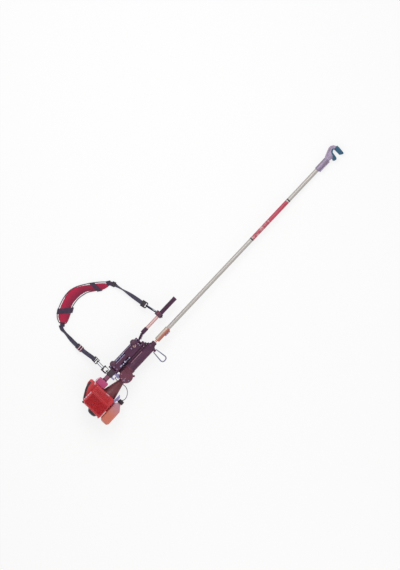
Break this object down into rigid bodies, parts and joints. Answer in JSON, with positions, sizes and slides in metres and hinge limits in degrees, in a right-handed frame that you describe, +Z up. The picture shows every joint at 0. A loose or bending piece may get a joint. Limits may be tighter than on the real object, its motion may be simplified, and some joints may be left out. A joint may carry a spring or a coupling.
{
  "type": "petrol hook tree shaker",
  "caption": "Long-reach petrol hook shaker: rubber-lined hook on a pole driven back and forth by a crank gearbox, with a sprung handle and padded shoulder strap.",
  "frame": {"origin": "on the pole's axis, 8 mm in front of the mouth of its clamp coupling; the tool lies on its left side and the ground is at Z = -0.0860 m", "axes": "+Y along the pole towards the hook (the pole's nose droops 2.35 degrees towards the ground as the tool lies), +X towards the fuel tank's side, +Z up from the ground"},
  "size_m": [0.7932, 2.4084, 0.1909],
  "materials": {
    "pale_tube": "satin, light grey-beige",
    "cast_grey": "matt cast",
    "teal_rubber": "matt",
    "dark_cast": "satin, very dark plum",
    "maroon_cast": "satin, dark maroon-brown",
    "bronze_tube": "satin, brown-pink",
    "handle_metal": "satin",
    "bare_steel": "bright",
    "chromed": "polished",
    "raw_alloy": "matt cast",
    "bronze": "bare",
    "black_rubber": "matt, ribbed",
    "black_plastic": "matt",
    "red_plastic": "semi-gloss red",
    "magenta_plastic": "semi-gloss magenta-pink",
    "tank_plastic": "satin salmon-orange",
    "red_button": "matt",
    "pad_cloth": "woven crimson, with dark plum bands and binding",
    "dark_webbing": "woven navy-black",
    "cable_sheath": "satin grey"
  },
  "bodies": {
    "machine": {"guide_cylinder": "dark_cast", "gland_nut": "cast_grey", "rod_bush": "bronze", "crank_housing": "dark_cast", "crank_cover": "dark_cast", "housing_screws": "bare_steel", "gear_bearings": "bare_steel", "clutch_cone": "maroon_cast", "crankcase": "raw_alloy", "engine_cylinder": "raw_alloy", "spark_plug": "black_plastic", "muffler": "raw_alloy", "recoil_housing": "red_plastic", "engine_shroud": "red_plastic", "muffler_guard": "red_plastic", "intake_cowl": "magenta_plastic", "carburettor": "raw_alloy", "air_filter_case": "black_plastic", "fuel_tank": "tank_plastic", "handle_frame": "dark_cast", "guide_rails": "bare_steel", "handle_springs": "bare_steel", "engine_stub": "cast_grey", "rear_clamp": "dark_cast", "throttle_cable": "cable_sheath"},
    "pole": {"hook_head": "cast_grey", "hook_liners": "teal_rubber", "pole_tube": "pale_tube", "pole_coupling": "bronze_tube", "clamp_screws": "bare_steel", "piston_rod": "chromed", "crosshead": "raw_alloy"},
    "con_rod": {"connecting_rod": "bare_steel"},
    "crank": {"crown_gear": "bare_steel", "crank_disc": "bare_steel"},
    "drive": {"drive_pinion": "bare_steel", "clutch_drum": "bare_steel"},
    "rotor": {"engine_crankshaft": "bare_steel", "clutch_shoes": "bare_steel", "flywheel": "raw_alloy"},
    "piston": {"engine_piston": "raw_alloy"},
    "pull": {"pull_handle": "black_plastic"},
    "pulley": {"recoil_pulley": "black_plastic"},
    "choke": {"choke_lever": "black_plastic"},
    "throttle": {"throttle_arm": "black_plastic"},
    "cap": {"fuel_cap": "black_plastic"},
    "bail": {"rest_bail": "chromed"},
    "handle": {"carriage": "dark_cast", "handle_neck": "black_rubber", "handle_tube": "handle_metal", "grip": "black_rubber", "control_collar": "black_plastic", "strap_clip": "black_plastic", "strap_pad": "pad_cloth", "strap_webbing": "dark_webbing", "strap_links": "bare_steel", "strap_buckles": "black_plastic"},
    "lever": {"throttle_lever": "black_plastic"},
    "switch": {"stop_switch": "red_button"},
    "gate": {"clip_gate": "black_plastic"}
  },
  "joints": [
    {"name": "rod_slide", "type": "slide", "parent": "machine", "child": "pole", "axis": [0, 0.9992, -0.0409], "range_m": [-0.018, 0.018]},
    {"name": "con_rod_pivot", "type": "hinge", "parent": "pole", "child": "con_rod", "pos_m": [0, -0.32874, 0.01347], "axis": [0, 0.0409, 0.9992], "range_deg": [-1, 21]},
    {"name": "crank_spin", "type": "hinge", "parent": "machine", "child": "crank", "pos_m": [0.016, -0.42979, -0.01041], "axis": [0, 0.0409, 0.9992], "continuous": true},
    {"name": "drive_spin", "type": "hinge", "parent": "machine", "child": "drive", "pos_m": [0.016, -0.48974, -0.00796], "axis": [0, 0.9992, -0.0409], "continuous": true},
    {"name": "engine_spin", "type": "hinge", "parent": "machine", "child": "rotor", "pos_m": [0.016, -0.65959, -0.001], "axis": [0, 0.9992, -0.0409], "continuous": true},
    {"name": "piston_slide", "type": "slide", "parent": "machine", "child": "piston", "axis": [1, 0, 0], "range_m": [-0.014, 0.014]},
    {"name": "starter_pull", "type": "slide", "parent": "machine", "child": "pull", "axis": [-1, 0, 0], "range_m": [0, 0.03], "stiffness_N_per_m": 100},
    {"name": "pulley_spin", "type": "hinge", "parent": "machine", "child": "pulley", "pos_m": [0.016, -0.73353, 0.00203], "axis": [0, 0.9992, -0.0409], "range_deg": [-5, 75]},
    {"name": "choke_turn", "type": "hinge", "parent": "machine", "child": "choke", "pos_m": [-0.048, -0.62759, -0.05035], "axis": [0, -0.9992, 0.0409], "range_deg": [0, 50]},
    {"name": "throttle_turn", "type": "hinge", "parent": "machine", "child": "throttle", "pos_m": [-0.048, -0.68654, -0.04793], "axis": [0, -0.9992, 0.0409], "range_deg": [0, 50]},
    {"name": "cap_spin", "type": "hinge", "parent": "machine", "child": "cap", "pos_m": [0.107, -0.59032, 0.00417], "axis": [0, 0.9992, -0.0409], "continuous": true},
    {"name": "bail_swing", "type": "hinge", "parent": "machine", "child": "bail", "pos_m": [0.039, -0.17685, 0.00725], "axis": [0, 0.9992, -0.0409], "range_deg": [-75, 75]},
    {"name": "handle_slide", "type": "slide", "parent": "machine", "child": "handle", "axis": [0, 0.9992, -0.0409], "range_m": [-0.005, 0.005], "stiffness_N_per_m": 12000},
    {"name": "lever_pull", "type": "hinge", "parent": "handle", "child": "lever", "pos_m": [-0.085, 0.01699, -0.0007], "axis": [0, 0.9992, -0.0409], "range_deg": [0, 20], "stiffness_Nm_per_rad": 0.4},
    {"name": "switch_press", "type": "slide", "parent": "handle", "child": "switch", "axis": [0, -0.0409, -0.9992], "range_m": [0, 0.003], "stiffness_N_per_m": 300},
    {"name": "gate_open", "type": "hinge", "parent": "handle", "child": "gate", "pos_m": [-0.128, -0.4746, 0.01945], "axis": [0, 0.0409, 0.9992], "range_deg": [-18, 0], "stiffness_Nm_per_rad": 0.05}
  ],
  "couplings": [
    {"joint": "drive_spin", "follows": "crank_spin", "ratio": -3},
    {"joint": "throttle_turn", "follows": "lever_pull", "ratio": 2.5},
    {"joint": "pulley_spin", "follows": "starter_pull", "rad_per_m": 41.84}
  ]
}
